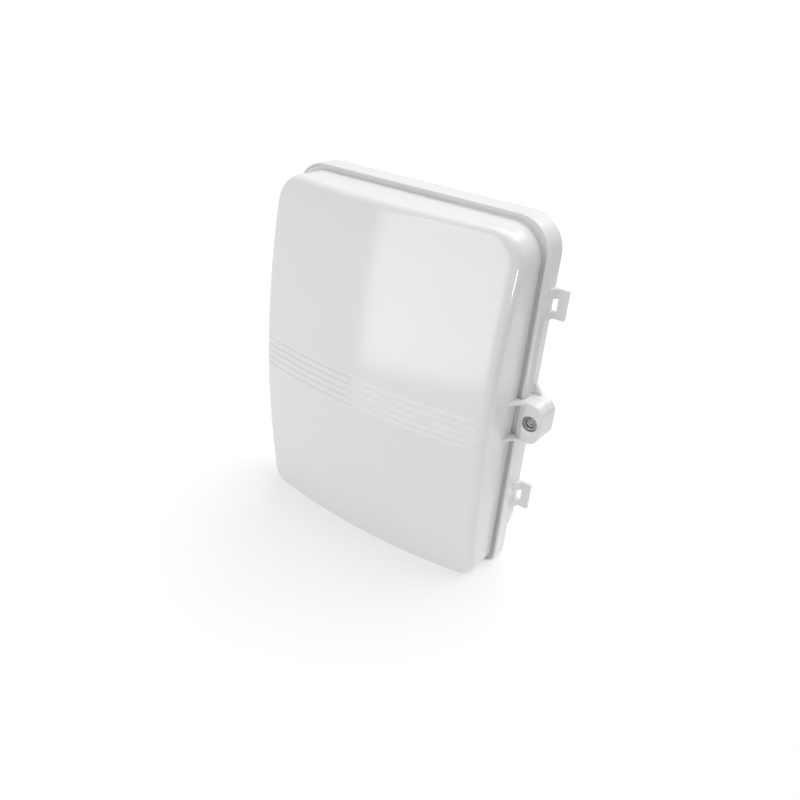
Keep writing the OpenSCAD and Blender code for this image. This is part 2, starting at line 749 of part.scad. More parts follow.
module panel_latch() color([0.15, 0.35, 0.65]) {
    head_back = panel_front + 0.3;
    foot_back = panel_y - 9.3;
    stud(latch_x, latch_z, 8, head_back, head_back + 2.5);
    block(latch_x - 1.5, latch_x + 1.5, head_back + 2, head_back + 8, latch_z - 7, latch_z + 7);
    stud(latch_x, latch_z, 3.8, foot_back, head_back + join);
    block(latch_x - 2.6, latch_x + 2.6, foot_back, foot_back + 2.5, latch_z - 7.2, latch_z + 7.2);
}

// ---------------------------------------------------------------- splice cassette

module splice_cassette() color(tray_grey) {
    x0 = cassette_x - cassette_w / 2;
    x1 = cassette_x + cassette_w / 2;
    z0 = cassette_z - cassette_h / 2;
    z1 = cassette_z + cassette_h / 2;
    back = cassette_back + fit_gap;
    difference() {
        union() {
            difference() {
                block(x0, x1, back, cassette_front, z0, z1);
                block(x0 + 1.6, x1 - 1.6, back + 1.6, cassette_front + 1, z0 + 1.6, z1 - 1.6);
            }
            for (s = [-1, 1]) {
                translate([cassette_x + s * 52, -back - 1, cassette_z]) rotate([90, 0, 0])
                    difference() {
                        cylinder(r = 24, h = cassette_front - back - 2.5);
                        translate([0, 0, 1]) cylinder(r = 22, h = 30);
                    }
            }
            for (z = [z0 - 4, z1 - 1.6])
                block(lid_pin_x - 3.4, lid_pin_x + 3.4, back + 2, -lid_pin_y + 3, z, z + 5.6);
        }
        for (z = [z0 - 5, z1 - 3]) translate([lid_pin_x, lid_pin_y, z])
            cylinder(r = lid_pin_r + run_clear, h = 9);
        for (s = [-1, 1]) for (t = [-1, 1])
            block(cassette_x + s * (cassette_w / 2 - 40) - 10,
                  cassette_x + s * (cassette_w / 2 - 40) + 10,
                  cassette_front - 6, cassette_front + 1,
                  cassette_z + t * cassette_h / 2 - 3, cassette_z + t * cassette_h / 2 + 3);
        for (p = cassette_points()) stud(p[0], p[1], screw_r + 0.2, 0, cassette_front);
    }
}

module cassette_lid() color(clear) {
    z0 = cassette_z - cassette_h / 2;
    z1 = cassette_z + cassette_h / 2;
    back = cassette_front + 0.5;
    block(lid_pin_x + 1, cassette_x + cassette_w / 2, back, back + lid_t, z0 + 4.6, z1 - 4.6);
    translate([lid_pin_x, lid_pin_y, z0 - 3]) cylinder(r = lid_pin_r, h = cassette_h + 6);
    block(lid_pin_x - 0.5, lid_pin_x + 2, back, back + lid_t, z0 + 4.6, z1 - 4.6);
    // Finger tab on the free side
    block(cassette_x + cassette_w / 2 - join, cassette_x + cassette_w / 2 + 5, back,
          back + lid_t, cassette_z - 9, cassette_z + 9);
}

module splice_comb() color(rubber) {
    comb_w = splice_n * 2.6 + 2;
    back = cassette_back + 1.8;
    difference() {
        block(cassette_x - comb_w / 2, cassette_x + comb_w / 2, back, cassette_front - 1.5,
              cassette_z + 26, cassette_z + 50);
        for (i = [0:splice_n - 1])
            translate([cassette_x + (i - (splice_n - 1) / 2) * 2.6, 0, 0])
                block(-0.9, 0.9, back + 2, cassette_front, cassette_z + 25, cassette_z + 51);
    }
}

module cassette_screws() color(steel) {
    seat = cassette_back + 1.6 + 2 * fit_gap;
    for (p = cassette_points())
        panel_screw(p[0], p[1], seat, seat - tip_depth(p[1]), screw_r - 0.05);
}

// ---------------------------------------------------------------- cable entries

module feeder_grommets() color(rubber)
    for (s = [-1, 1]) translate([s * feeder_x, entry_y, 0]) difference() {
        union() {
            translate([0, 0, -half_h + 0.3]) cylinder(r = feeder_r - fit_gap, h = wall + 1);
            translate([0, 0, -half_h + wall + fit_gap]) cylinder(r = feeder_r + 0.9, h = 1.6);
            translate([0, 0, -half_h + wall + 1.5])
                cylinder(r1 = feeder_r + 0.4, r2 = feeder_r - 1.4, h = 8);
        }
        translate([0, 0, -half_h + 3]) cylinder(r = feeder_r - 2.6, h = 20);
    }

module drop_grommet() color(rubber)
    difference() {
        union() {
            drop_slot(fit_gap, -half_h + 0.3, -half_h + wall + 1);
            drop_slot(-0.8, -half_h + wall + fit_gap, -half_h + wall + 2.4);
            drop_slot(0.8, -half_h + wall + 2, -half_h + wall + 8);
        }
        for (i = [0:drop_n - 1])
            translate([(i - (drop_n - 1) / 2) * drop_pitch, entry_y, -half_h + 2])
                cylinder(r = drop_r, h = 20);
    }

module cable_clamps() color(steel)
    for (s = [-1, 1]) translate([s * feeder_x, 0, clamp_z]) {
        r = feeder_r - 1.4;
        back = clamp_seat + fit_gap;
        difference() {
            union() {
                block(-feeder_r - 11, feeder_r + 11, back, back + 1.5, -5, 5);
                translate([0, -back, -5]) cylinder(r = r + 1.5, h = 10);
            }
            translate([0, -back, -6]) cylinder(r = r, h = 12);
            block(-20, 20, 0, back, -6, 6);
            for (k = [-1, 1]) stud(k * (feeder_r + 6), 0, screw_r + 0.2, back - 1, back + 3);
        }
    }

module clamp_screws() color(steel)
    for (p = clamp_points())
        panel_screw(p[0], p[1], clamp_seat + 1.5 + 2 * fit_gap, 6.5, screw_r - 0.05);

module strength_posts() color([0.78, 0.65, 0.35])
    for (p = strength_points()) difference() {
        slab(8 + fit_gap, 10) translate([p[0], p[1]]) square([14, 9], center = true);
        stud(p[0], p[1], screw_r + 0.2, 7, 11);
    }

module strength_screws() color(steel)
    for (p = strength_points())
        panel_screw(p[0], p[1], 10 + fit_gap, 10 + fit_gap - tip_depth(p[1]), screw_r - 0.05);

module tie_bar() color(tray_grey)
    difference() {
        block(-tie_half - 8, tie_half + 8, tie_back + fit_gap, tie_back + 2.6,
              tie_z - 5, tie_z + 5);
        for (i = [0:drop_n - 2]) let (x = (i - (drop_n - 2) / 2) * drop_pitch)
            for (s = [-1, 1]) translate([x, 0, tie_z + s * 5])
                block(-1.6, 1.6, tie_back - 1, tie_back + 4, -1.8, 1.8);
        for (p = tie_points()) stud(p[0], p[1], screw_r + 0.2, tie_back - 1, tie_back + 4);
    }

module tie_bar_screws() color(steel) {
    seat = tie_back + 2.6 + fit_gap;
    for (p = tie_points())
        panel_screw(p[0], p[1], seat, seat - tip_depth(p[1]) - tip_gap, screw_r - 0.05);
}

base_shell();
cover();
cover_gasket();
cover_hinge_pins();
lock_barrel();
lock_nut();
lock_cam();
cam_screw();
swing_panel();
panel_hinge_pins();
adapter_plate();
plate_screws();
patch_adapters();
alignment_sleeves();
outer_dust_caps();
inner_dust_caps();
splitter_module();
splitter_clips();
fibre_guides();
panel_latch();
splice_cassette();
cassette_lid();
splice_comb();
cassette_screws();
feeder_grommets();
drop_grommet();
cable_clamps();
clamp_screws();
strength_posts();
strength_screws();
tie_bar();
tie_bar_screws();
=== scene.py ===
import math

import bmesh
import bpy
from mathutils import Matrix, Vector


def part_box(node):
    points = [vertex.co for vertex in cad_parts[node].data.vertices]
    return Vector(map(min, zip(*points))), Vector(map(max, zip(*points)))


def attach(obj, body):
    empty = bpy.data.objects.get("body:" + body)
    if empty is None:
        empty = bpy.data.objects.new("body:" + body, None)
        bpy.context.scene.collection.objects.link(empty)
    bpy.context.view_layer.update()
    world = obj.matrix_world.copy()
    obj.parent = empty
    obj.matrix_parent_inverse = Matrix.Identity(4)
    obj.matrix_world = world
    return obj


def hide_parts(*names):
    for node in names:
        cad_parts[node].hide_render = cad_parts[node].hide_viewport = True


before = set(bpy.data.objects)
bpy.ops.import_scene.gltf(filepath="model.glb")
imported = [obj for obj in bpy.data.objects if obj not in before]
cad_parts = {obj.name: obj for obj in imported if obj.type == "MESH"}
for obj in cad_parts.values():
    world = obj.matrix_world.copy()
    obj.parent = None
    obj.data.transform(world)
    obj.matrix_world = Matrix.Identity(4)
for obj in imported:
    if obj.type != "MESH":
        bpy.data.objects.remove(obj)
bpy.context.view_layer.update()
mm = 0.001

# ------------------------------------------------------------------ studio
# The box stands on white paper. A softbox in front lights its gloss, a broad soft light falls
# from overhead and behind, and a small strip to the right draws the line on the corner.

view_from = Vector((352.3, -549.5, 307.4)) * mm
turn, tilt, roll = math.radians(33.38), math.radians(28.4), math.radians(5.5)
back = Vector((math.sin(turn) * math.cos(tilt), -math.cos(turn) * math.cos(tilt), math.sin(tilt)))
level = Vector((math.cos(turn), math.sin(turn), 0))
rise = back.cross(level)
side = math.cos(roll) * level + math.sin(roll) * rise
above = math.cos(roll) * rise - math.sin(roll) * level
camera = bpy.data.objects.new("camera", bpy.data.cameras.new("camera"))
camera.data.lens, camera.data.sensor_width = 35.18, 36
camera.data.clip_start, camera.data.clip_end = 0.01, 100
camera.matrix_world = Matrix((side, above, back)).transposed().to_4x4()
camera.matrix_world.translation = view_from
bpy.context.scene.collection.objects.link(camera)
bpy.context.scene.camera = camera
bpy.context.scene.view_settings.view_transform = "Standard"

world = bpy.data.worlds.new("studio")
bpy.context.scene.world = world
world.use_nodes = True
nodes, links = world.node_tree.nodes, world.node_tree.links
sky = nodes["Background"]
room_light, backdrop_light = 0.62, 1.05
sky.inputs["Color"].default_value = (1, 0.995, 0.99, 1)
seen, glow = nodes.new("ShaderNodeLightPath"), nodes.new("ShaderNodeMapRange")
glow.inputs["To Min"].default_value = room_light
glow.inputs["To Max"].default_value = backdrop_light
links.new(seen.outputs["Is Camera Ray"], glow.inputs["Value"])
links.new(glow.outputs["Result"], sky.inputs["Strength"])


def softbox(name, place, aim, width, height, watts):
    lamp = bpy.data.lights.new(name, "AREA")
    lamp.shape, lamp.size, lamp.size_y, lamp.energy = "RECTANGLE", width, height, watts
    obj = bpy.data.objects.new(name, lamp)
    obj.location = place
    obj.rotation_euler = (Vector(aim) - Vector(place)).to_track_quat("-Z", "Y").to_euler()
    obj.visible_camera = False
    bpy.context.scene.collection.objects.link(obj)
    return obj


gleam = softbox("front_softbox", (-0.065, -0.530, 0.240), (0.145, -0.061, 0.240), 0.41, 0.80, 3.1)
gleam.data.color = (1, 0.97, 0.975)
strip = softbox("corner_strip", (0.435, -0.14, 0.085), (0.116, -0.045, 0.115), 0.012, 0.07, 0.25)
gleam.visible_diffuse = strip.visible_diffuse = False

key = bpy.data.objects.new("overhead_light", bpy.data.lights.new("overhead_light", "SUN"))
key.data.energy, key.data.angle = 2.2, math.radians(70)
key.rotation_euler = Vector((-0.22, -0.5, -1)).to_track_quat("-Z", "Y").to_euler()
bpy.context.scene.collection.objects.link(key)


def paper(name, albedo, lit):
    """Matt paper with a faint fibre; lit is the light it gives off by itself."""
    mat = bpy.data.materials.new(name)
    mat.use_nodes = True
    nodes, links = mat.node_tree.nodes, mat.node_tree.links
    shader = nodes["Principled BSDF"]
    shader.inputs["Roughness"].default_value = 0.9
    shader.inputs["Specular IOR Level"].default_value = 0.1
    shader.inputs["Emission Color"].default_value = (1, 1, 1, 1)
    shader.inputs["Emission Strength"].default_value = lit
    fibres = nodes.new("ShaderNodeTexNoise")
    fibres.inputs["Scale"].default_value = 900
    tone = nodes.new("ShaderNodeMapRange")
    tone.inputs["To Min"].default_value = albedo * 0.98
    tone.inputs["To Max"].default_value = albedo * 1.02
    where = nodes.new("ShaderNodeTexCoord")
    links.new(where.outputs["Object"], fibres.inputs["Vector"])
    links.new(fibres.outputs["Fac"], tone.inputs["Value"])
    links.new(tone.outputs["Result"], shader.inputs["Base Color"])
    return mat


def sheet(name, corners, faces, material):
    mesh = bpy.data.meshes.new(name)
    mesh.from_pydata(corners, [], faces)
    mesh.materials.append(material)
    obj = bpy.data.objects.new(name, mesh)
    bpy.context.scene.collection.objects.link(obj)
    return obj


# the grey card is seen only as a reflection and as bounce on the box's right side
floor_z = -0.16
sheet("white_floor", [(x, y, floor_z) for y in (-14, 5) for x in (-14, 14)], [(0, 1, 3, 2)],
      paper("white_paper", 0.48, 0.50))
flag = sheet("grey_flag", [(0.46, y, z) for z in (floor_z + 0.002, 0.75) for y in (-0.25, 0.9)],
             [(0, 1, 3, 2)], paper("grey_card", 0.3, 0))
flag.visible_camera = flag.visible_shadow = False

# ------------------------------------------------------------------ rear housing
# An injection moulding in glossy white plastic: shallow tray with a rim, two strap ears on
# each side, the lock boss, hinge knuckles, and posts and brackets inside for the fittings.

def moulding(name, colour, gloss, grain, cloud=0.02):
    """Moulded plastic: a faint cloudiness in the colour, uneven gloss, flow ripple and grain."""
    mat = bpy.data.materials.new(name)
    mat.use_nodes = True
    nodes, links = mat.node_tree.nodes, mat.node_tree.links
    shader = nodes["Principled BSDF"]
    where = nodes.new("ShaderNodeTexCoord")

    def noise(scale, detail):
        n = nodes.new("ShaderNodeTexNoise")
        n.inputs["Scale"].default_value, n.inputs["Detail"].default_value = scale, detail
        links.new(where.outputs["Object"], n.inputs["Vector"])
        return n.outputs["Fac"]

    broad, fine, ripple = noise(14, 3), noise(2600, 1), noise(170, 1)
    mix = nodes.new("ShaderNodeMix")
    mix.data_type = "RGBA"
    mix.inputs["A"].default_value = (*[c * (1 - cloud) for c in colour], 1)
    mix.inputs["B"].default_value = (*[min(c * (1 + cloud), 1) for c in colour], 1)
    links.new(broad, mix.inputs["Factor"])
    links.new(mix.outputs["Result"], shader.inputs["Base Color"])
    dull = nodes.new("ShaderNodeMapRange")
    dull.inputs["From Min"].default_value, dull.inputs["From Max"].default_value = 0.3, 0.7
    dull.inputs["To Min"].default_value = gloss * 0.9
    dull.inputs["To Max"].default_value = gloss * 1.12
    links.new(broad, dull.inputs["Value"])
    links.new(dull.outputs["Result"], shader.inputs["Roughness"])
    flow = nodes.new("ShaderNodeBump")
    flow.inputs["Strength"].default_value = 1
    flow.inputs["Distance"].default_value = 0.004 * mm
    links.new(ripple, flow.inputs["Height"])
    skin = nodes.new("ShaderNodeBump")
    skin.inputs["Strength"].default_value = 1
    skin.inputs["Distance"].default_value = grain * mm
    links.new(fine, skin.inputs["Height"])
    links.new(flow.outputs["Normal"], skin.inputs["Normal"])
    links.new(skin.outputs["Normal"], shader.inputs["Normal"])
    return mat


def mark_sharp(bm, degrees):
    """Shades everything smooth except across edges that turn by more than the given angle."""
    for edge in bm.edges:
        edge.smooth = len(edge.link_faces) == 2 and edge.calc_face_angle(0) < math.radians(degrees)
    for face in bm.faces:
        face.smooth = True


def round_edges(obj, width, material):
    """Rounds a piece's sharp edges and leaves it a plain mesh in its one material."""
    soft = obj.modifiers.new("edges", "BEVEL")
    soft.width, soft.segments, soft.limit_method = width, 2, "ANGLE"
    soft.angle_limit, soft.harden_normals = math.radians(50), True
    soft.use_clamp_overlap = True
    soft.miter_outer = "MITER_ARC"
    bpy.context.view_layer.update()
    made = bpy.data.meshes.new_from_object(obj.evaluated_get(bpy.context.evaluated_depsgraph_get()))
    obj.modifiers.clear()
    obj.data = made
    made.materials.clear()
    made.materials.append(material)


def cad_copy(node):
    """The CAD piece as a mesh to work on, its doubled points merged."""
    bm = bmesh.new()
    bm.from_mesh(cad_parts[node].data)
    bmesh.ops.remove_doubles(bm, verts=bm.verts, dist=0.002 * mm)
    return bm


def placed(bm, name):
    """Puts a mesh in the scene as an object."""
    mesh = bpy.data.meshes.new(name)
    bm.to_mesh(mesh)
    bm.free()
    obj = bpy.data.objects.new(name, mesh)
    bpy.context.scene.collection.objects.link(obj)
    return obj


def flat_faced(bm, name):
    """Joins the triangles of each flat face, then puts the mesh in the scene as an object."""
    bmesh.ops.dissolve_limit(bm, angle_limit=math.radians(1), verts=bm.verts, edges=bm.edges)
    mark_sharp(bm, 30)
    return placed(bm, name)


def softened(node, body, material, width, name):
    """A copy of the CAD piece with its edges rounded, standing in for it."""
    obj = flat_faced(cad_copy(node), name)
    round_edges(obj, width, material)
    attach(obj, body)
    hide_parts(node)
    return obj


white_housing = moulding("white_housing", (0.845, 0.845, 0.842), 0.24, 0.006)
softened("base_shell", "housing", white_housing, 0.45 * mm, "rear_housing")

# ------------------------------------------------------------------ cover
# One deep white moulding with a mirror-like gloss. Its front is crowned both ways and rolls
# into straight sides; a narrow ledge runs round it, and five shallow grooves cross its front.

half_w, foot, head = 119.5, -160, 154.5
mid, reach = (head + foot) / 2, (head - foot) / 2
edge_depth, crown_up, crown_across = 53, 16, 13
head_corner, foot_corner, wall = 27, 14, 2.5
groove_mid, groove_pitch = -6.5, 6.4
groove_lines = [groove_mid + k * groove_pitch for k in (-2, -1, 0, 1, 2)]
groove_depth, groove_half, groove_end, groove_fade = 0.5, 1.35, 114, 3
white_cover = moulding("white_cover", (0.845, 0.845, 0.842), 0.15, 0.0015)


def depth_of_front(x, z):
    """How far the crowned front stands out from the wall."""
    return (edge_depth + crown_up * (1 - ((z - mid) / reach) ** 2)
            + crown_across * (1 - (x / half_w) ** 2))


def groove(x, z):
    """How deep a groove is cut at this place; the grooves run out at both ends."""
    fade = min(max((groove_end + groove_fade - abs(x)) / groove_fade, 0), 1)
    for line in groove_lines:
        t = abs(z - line) / groove_half
        if t < 1:
            return groove_depth * fade * (1 - t * t) ** 2
    return 0


def spread(lo, hi, n):
    """Evenly spaced values from lo to hi."""
    return [lo + (hi - lo) * i / n for i in range(n + 1)]


straight_from, straight_to = foot + foot_corner, head - head_corner


def stations():
    """Heights down the cover's sides: close together over the grooves, wider elsewhere."""
    clear, gaps = 2.4, 18
    zs = (spread(straight_from, groove_lines[0] - clear, gaps)
          + spread(groove_lines[-1] + clear, straight_to, gaps))
    for line in groove_lines:
        zs += [line + groove_half * k
               for k in (-1.1, -0.9, -0.65, -0.4, -0.2, 0, 0.2, 0.4, 0.65, 0.9, 1.1)]
    return sorted(zs)


rows = stations()
cols = spread(-1, 1, 36)
arc_steps = 12


def loop(hw, lo, hi, rt, rb):
    """Round-cornered outline as (x, z, outward x, outward z), anticlockwise from the foot."""
    def fit(z):
        share = (z - straight_from) / (straight_to - straight_from)
        return (lo + rb) + share * (hi - rt - lo - rb)
    out = []
    for cx, cz, r, start in ((hw - rb, lo + rb, rb, -90), (hw - rt, hi - rt, rt, 0),
                             (rt - hw, hi - rt, rt, 90), (rb - hw, lo + rb, rb, 180)):
        for i in range(arc_steps + 1):
            a = math.radians(start + 90 * i / arc_steps)
            out.append((cx + r * math.cos(a), cz + r * math.sin(a), math.cos(a), math.sin(a)))
        if start == -90:
            out += [(hw, fit(z), 1, 0) for z in rows[1:-1]]
        elif start == 0:
            out += [(-c * (hw - rt), hi, 0, 1) for c in cols[1:-1]]
        elif start == 90:
            out += [(-hw, fit(z), -1, 0) for z in rows[-2:0:-1]]
        else:
            out += [(c * (hw - rb), lo, 0, -1) for c in cols[1:-1]]
    return out


def dome_outline(inset):
    """Outline of the dome's sides, moved in from the outside face."""
    return loop(half_w - inset, foot + inset, head - inset,
                head_corner - inset, foot_corner - inset)


def ring_at(bm, shape, depth):
    """A loop of points along an outline, at one depth."""
    return [bm.verts.new((p[0] * mm, -depth * mm, p[1] * mm)) for p in shape]


def bridge(bm, a, b):
    """Faces between two closed loops of points."""
    n = len(a)
    for i in range(n):
        bm.faces.new((a[i], a[(i + 1) % n], b[(i + 1) % n], b[i]))


def skin(bm, inset, cut):
    """The dome's outside (inset 0) or lining: sides, rolled edge, and the crowned front."""
    base = dome_outline(inset)
    rings = [ring_at(bm, base, depth) for depth in (24.6, 30, 38, 46)]
    # the edge rolls over tightly at the foot and more softly from 25 mm up
    foot_roll, more_roll, rise_of_roll, roll_steps, groove_from = 3, 4, 25, 10, 8
    for k in range(roll_steps + 1):
        a = math.radians(90 / roll_steps * k)
        ring = []
        for p in base:
            up = min(max((p[1] - foot - inset) / rise_of_roll, 0), 1)
            r = max(foot_roll + more_roll * up - inset, 0.5)
            x, z = p[0] - p[2] * r * (1 - math.cos(a)), p[1] - p[3] * r * (1 - math.cos(a))
            d = depth_of_front(x, z) - inset - r * (1 - math.sin(a))
            ring.append((x, d - (groove(x, z) if cut and k >= groove_from else 0), z))
        rings.append([bm.verts.new((x * mm, -d * mm, z * mm)) for x, d, z in ring])
    rim = [(v.co.x / mm, v.co.z / mm) for v in rings[-1]]
    # the middle of the front is a grid whose rows run straight on from the sides
    grid = {}
    grid_margin, fill_steps = 26, 4
    wide = half_w - grid_margin
    for i, z in enumerate(rows):
        for j, c in enumerate(cols):
            x = c * wide
            d = depth_of_front(x, z) - inset - (groove(x, z) if cut else 0)
            grid[i, j] = bm.verts.new((x * mm, -d * mm, z * mm))
    last_i, last_j = len(rows) - 1, len(cols) - 1
    around = []
    for corner, run in (((0, last_j), [(i, last_j) for i in range(1, last_i)]),
                        ((last_i, last_j), [(last_i, j) for j in range(last_j - 1, 0, -1)]),
                        ((last_i, 0), [(i, 0) for i in range(last_i - 1, 0, -1)]),
                        ((0, 0), [(0, j) for j in range(1, last_j)])):
        around += [corner] * (arc_steps + 1) + run
    for s in range(1, fill_steps):
        ring = []
        for q, (x, z) in zip(around, rim):
            g = grid[q].co / mm
            t = s / fill_steps
            x1, z1 = x + (g.x - x) * t, z + (g.z - z) * t
            d = depth_of_front(x1, z1) - inset - (groove(x1, z1) if cut else 0)
            ring.append(bm.verts.new((x1 * mm, -d * mm, z1 * mm)))
        rings.append(ring)
    rings.append([grid[q] for q in around])
    n = len(base)
    for a, b in zip(rings, rings[1:]):
        for i in range(n):
            quad = []
            for v in (a[i], a[(i + 1) % n], b[(i + 1) % n], b[i]):
                if v not in quad:
                    quad.append(v)
            if len(quad) > 2:
                bm.faces.new(quad)
    for i in range(last_i):
        for j in range(last_j):
            bm.faces.new((grid[i, j], grid[i, j + 1], grid[i + 1, j + 1], grid[i + 1, j]))
    return rings[0]


box_half_w, box_half_h, lip_gap = 125, 160, 1.95
lip_head_corner, lip_foot_corner = 27.05, 9.05


def flange(e):
    """Outline of the flange that closes on the gasket, moved in by e."""
    return loop(box_half_w - lip_gap - e, -box_half_h + lip_gap + e, box_half_h - lip_gap - e,
                lip_head_corner - e, lip_foot_corner - e)


def cove(share):
    """An outline on the ledge, from its outer lip (share 0) to the foot of the dome (share 1)."""
    return [[p + (q - p) * share for p, q in zip(a, b)]
            for a, b in zip(flange(0.5), dome_outline(0))]


bm = bmesh.new()
outside = skin(bm, 0, True)
lining = skin(bm, wall, False)
# under the flange, round its lip, and up over the hollowed ledge to the dome
flange_path = [(dome_outline(wall), 21.3), (flange(0.3), 21.3), (flange(0), 21.6),
               (flange(0), 22.5), (flange(0.15), 22.8), (cove(0), 22.9), (cove(0.3), 22.55),
               (cove(0.6), 22.1), (cove(0.85), 22.0), (cove(1), 22.2)]
steps_out = [lining] + [ring_at(bm, shape, depth) for shape, depth in flange_path] + [outside]
for a, b in zip(steps_out, steps_out[1:]):
    bridge(bm, a, b)
bmesh.ops.recalc_face_normals(bm, faces=bm.faces)
mark_sharp(bm, 42)
cover = placed(bm, "crowned_cover")
cover.data.materials.append(white_cover)
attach(cover, "door")
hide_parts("cover")

# painted shade: the ledge is painted slightly greyer than the dome where the shade of a deeper
# recess would fall; the painted shade fades out along the top, which the light from above reaches,
# and outside its lip
ledge_painted_shade_grey = 0.56
painted_shade_begins, painted_shade_full = -25 * mm, -22.6 * mm
# where the painted shade fades out: past the ledge's lip, and up towards the lit top
past_the_lip, up_to_the_top = (123.2 * mm, 124.2 * mm), (125 * mm, 150 * mm)
nodes, links = white_cover.node_tree.nodes, white_cover.node_tree.links
shader = nodes["Principled BSDF"]
clean = shader.inputs["Base Color"].links[0].from_socket
where, axes = nodes.new("ShaderNodeTexCoord"), nodes.new("ShaderNodeSeparateXYZ")
links.new(where.outputs["Object"], axes.inputs["Vector"])
low = nodes.new("ShaderNodeMapRange")
low.interpolation_type = "SMOOTHSTEP"
low.inputs["From Min"].default_value = painted_shade_begins
low.inputs["From Max"].default_value = painted_shade_full
links.new(axes.outputs["Y"], low.inputs["Value"])
aside = nodes.new("ShaderNodeMath")
aside.operation = "ABSOLUTE"
links.new(axes.outputs["X"], aside.inputs[0])
share = low.outputs["Result"]
for source, (begins, gone) in ((aside.outputs[0], past_the_lip), (axes.outputs["Z"], up_to_the_top)):
    fade = nodes.new("ShaderNodeMapRange")
    fade.inputs["From Min"].default_value = begins
    fade.inputs["From Max"].default_value = gone
    fade.inputs["To Min"].default_value, fade.inputs["To Max"].default_value = 1, 0
    both = nodes.new("ShaderNodeMath")
    both.operation = "MULTIPLY"
    links.new(source, fade.inputs["Value"])
    links.new(share, both.inputs[0])
    links.new(fade.outputs["Result"], both.inputs[1])
    share = both.outputs[0]
# mixes the painted shade grey into the cover's own colour
painted_shade_mix = nodes.new("ShaderNodeMix")
painted_shade_mix.data_type = "RGBA"
painted_shade_mix.inputs["B"].default_value = (ledge_painted_shade_grey, ledge_painted_shade_grey, ledge_painted_shade_grey, 1)
links.new(share, painted_shade_mix.inputs["Factor"])
links.new(clean, painted_shade_mix.inputs["A"])
links.new(painted_shade_mix.outputs["Result"], shader.inputs["Base Color"])


def cut_from(node, name, keep, body, material, width, channel=None):
    """The part of a CAD piece inside a box, closed where it was cut, with its edges rounded.
    A channel, an outline in x and y from one height to another, can be cut out before that."""
    bm = cad_copy(node)
    for axis in range(3):
        for s, at in ((-1, keep[0][axis]), (1, keep[1][axis])):
            if at is None:
                continue
            normal = [0, 0, 0]
            normal[axis] = s
            spot = [0, 0, 0]
            spot[axis] = at * mm
            sliced = bmesh.ops.bisect_plane(bm, geom=bm.verts[:] + bm.edges[:] + bm.faces[:],
                                            plane_co=spot, plane_no=normal, clear_outer=True)
            edges = [e for e in sliced["geom_cut"] if isinstance(e, bmesh.types.BMEdge)]
            bmesh.ops.holes_fill(bm, edges=edges)
    obj = flat_faced(bm, name)
    if channel:
        bm = bmesh.new()
        outline, from_z, to_z = channel
        ends = [[bm.verts.new((x * mm, y * mm, z * mm)) for x, y in outline]
                for z in (from_z, to_z)]
        bridge(bm, *ends)
        for end in ends:
            bm.faces.new(end)
        bmesh.ops.recalc_face_normals(bm, faces=bm.faces)
        helper = placed(bm, "channel")
        cut = obj.modifiers.new("cut", "BOOLEAN")
        cut.object, cut.solver = helper, "EXACT"
    round_edges(obj, width, material)
    if channel:
        bpy.data.objects.remove(helper)
    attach(obj, body)
    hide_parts(node)
    return obj


# between the lug's two ribs the ledge runs on, then slopes up to the lug's face
dome_side, lug_from, lug_to, leaf_at, leaf_half = 119.53, -22.4, 13.4, 118, 4.2
lug_channel = ((119, -30), (119, -22.8), (122.9, -22.8), (130.5, -27), (130.5, -30)), -20.2, 11.2
cut_from("cover", "lock_lug", ((dome_side, None, lug_from), (None, None, lug_to)), "door",
         white_cover, 0.9 * mm, lug_channel)
for name, z in (("upper_hinge_leaf", leaf_at), ("lower_hinge_leaf", -leaf_at)):
    cut_from("cover", name, ((None, None, z - leaf_half), (-dome_side, None, z + leaf_half)),
             "door", white_cover, 0.35 * mm)

# ------------------------------------------------------------------ cover gasket
# A closed-cell rubber cord that lies in the groove of the housing's shelf; the cover's
# flange comes down on it.


def rubber(name, colour, grain=0.02):
    """Rubber: nearly black, dull, with a fine pebbled skin and slightly dusty patches."""
    mat = moulding(name, colour, 0.62, grain, 0.12)
    mat.node_tree.nodes["Principled BSDF"].inputs["Specular IOR Level"].default_value = 0.35
    return mat


grey_rubber = rubber("gasket_rubber", (0.045, 0.046, 0.048))
softened("cover_gasket", "housing", grey_rubber, 0.35 * mm, "gasket_cord")

# ------------------------------------------------------------------ hinge pins
# Ground steel pins pressed through the moulded knuckles: two for the cover, two for the
# swing panel inside.


